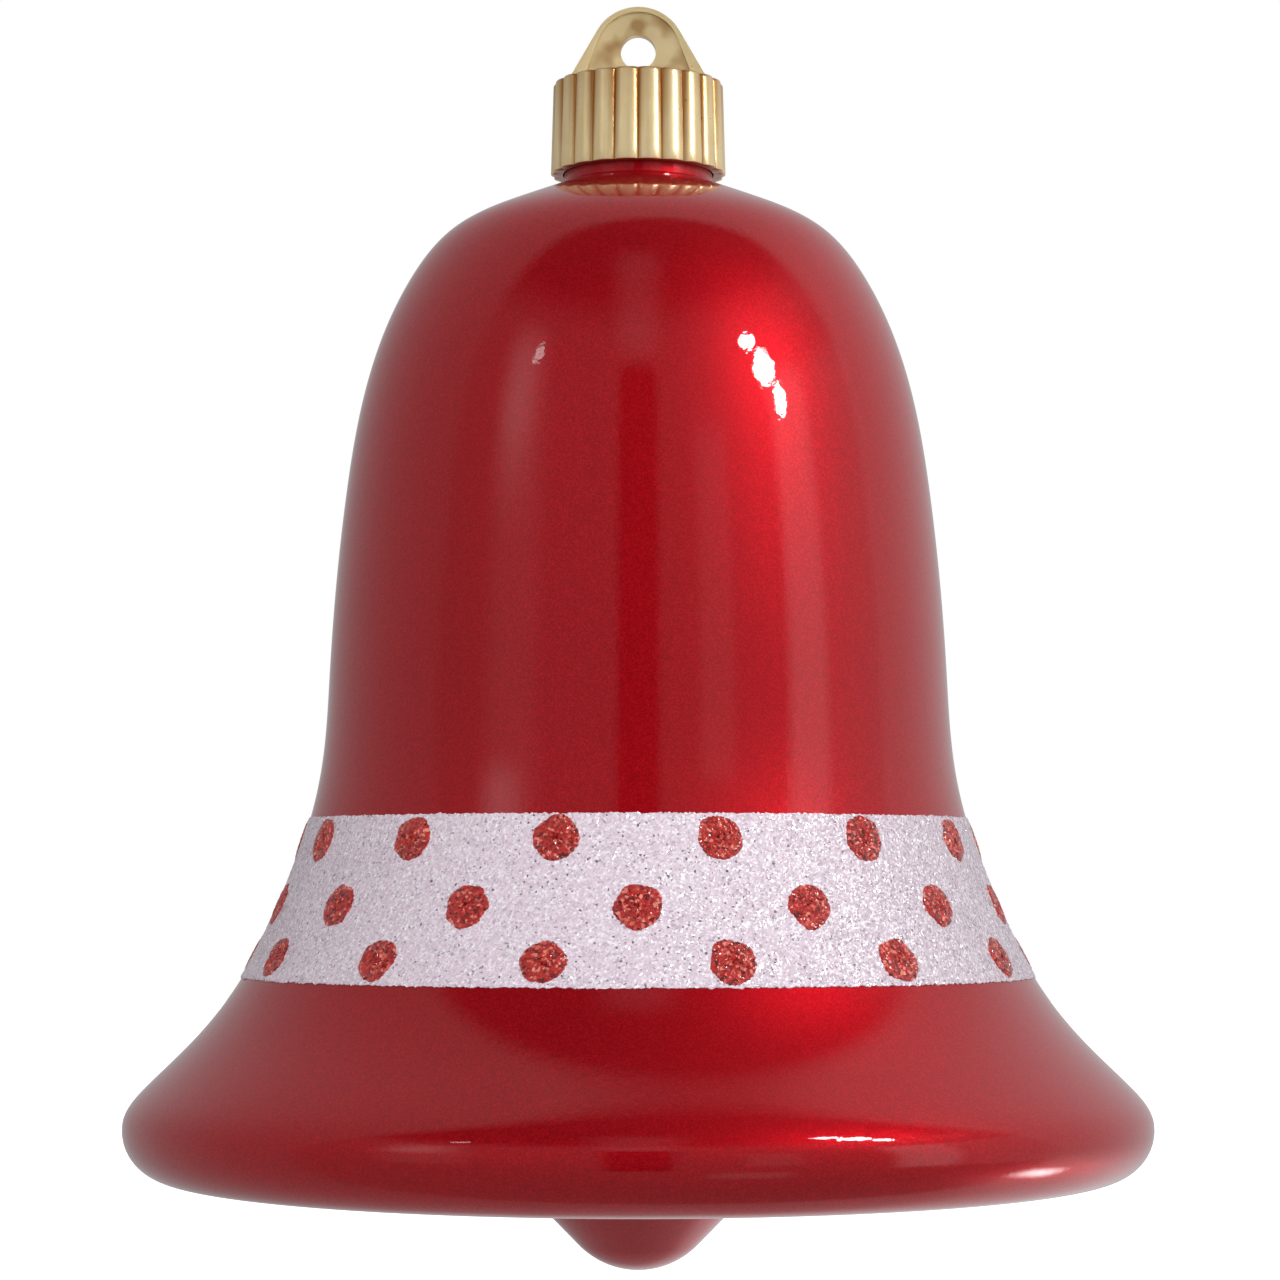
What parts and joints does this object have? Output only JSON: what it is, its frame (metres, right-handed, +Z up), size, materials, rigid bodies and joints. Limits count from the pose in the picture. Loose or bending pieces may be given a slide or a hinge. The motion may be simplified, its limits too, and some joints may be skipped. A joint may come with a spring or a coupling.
{
  "type": "christmas bell ornament",
  "caption": "Hollow red bell ornament with a flared rim, a moulded clapper, a glitter band with red dots and a gold fluted cap with a hanging lug.",
  "frame": {"origin": "centre of the hanging hole in the cap's lug", "axes": "+Z up along the bell's axis, front towards -Y, the lug lies in the XZ plane and its hole runs along Y"},
  "size_m": [0.2286, 0.2286, 0.2854],
  "materials": {
    "gold_cap": "injection-moulded plastic, vacuum-metallised pale gold, glossy",
    "red_shell": "blow-moulded plastic with a candy red pearl coat, glossy",
    "silver_glitter": "fine silver-white glitter on adhesive, with scattered bright flakes",
    "red_glitter": "coarse red glitter on adhesive, with a dark ragged edge"
  },
  "bodies": {
    "cap": {"hanger_cap": "gold_cap"},
    "bell": {"bell_shell": "red_shell", "glitter_band": "silver_glitter", "glitter_dot_top_01": "red_glitter", "glitter_dot_top_02": "red_glitter", "glitter_dot_top_03": "red_glitter", "glitter_dot_top_04": "red_glitter", "glitter_dot_top_05": "red_glitter", "glitter_dot_top_06": "red_glitter", "glitter_dot_top_07": "red_glitter", "glitter_dot_top_08": "red_glitter", "glitter_dot_top_09": "red_glitter", "glitter_dot_top_10": "red_glitter", "glitter_dot_top_11": "red_glitter", "glitter_dot_top_12": "red_glitter", "glitter_dot_top_13": "red_glitter", "glitter_dot_top_14": "red_glitter", "glitter_dot_middle_01": "red_glitter", "glitter_dot_middle_02": "red_glitter", "glitter_dot_middle_03": "red_glitter", "glitter_dot_middle_04": "red_glitter", "glitter_dot_middle_05": "red_glitter", "glitter_dot_middle_06": "red_glitter", "glitter_dot_middle_07": "red_glitter", "glitter_dot_middle_08": "red_glitter", "glitter_dot_middle_09": "red_glitter", "glitter_dot_middle_10": "red_glitter", "glitter_dot_middle_11": "red_glitter", "glitter_dot_middle_12": "red_glitter", "glitter_dot_middle_13": "red_glitter", "glitter_dot_middle_14": "red_glitter", "glitter_dot_bottom_01": "red_glitter", "glitter_dot_bottom_02": "red_glitter", "glitter_dot_bottom_03": "red_glitter", "glitter_dot_bottom_04": "red_glitter", "glitter_dot_bottom_05": "red_glitter", "glitter_dot_bottom_06": "red_glitter", "glitter_dot_bottom_07": "red_glitter", "glitter_dot_bottom_08": "red_glitter", "glitter_dot_bottom_09": "red_glitter", "glitter_dot_bottom_10": "red_glitter", "glitter_dot_bottom_11": "red_glitter", "glitter_dot_bottom_12": "red_glitter", "glitter_dot_bottom_13": "red_glitter", "glitter_dot_bottom_14": "red_glitter"}
  },
  "joints": [
    {"name": "bell_pull_off", "type": "slide", "parent": "cap", "child": "bell", "axis": [0, 0, -1], "range_m": [0, 0.025]}
  ]
}
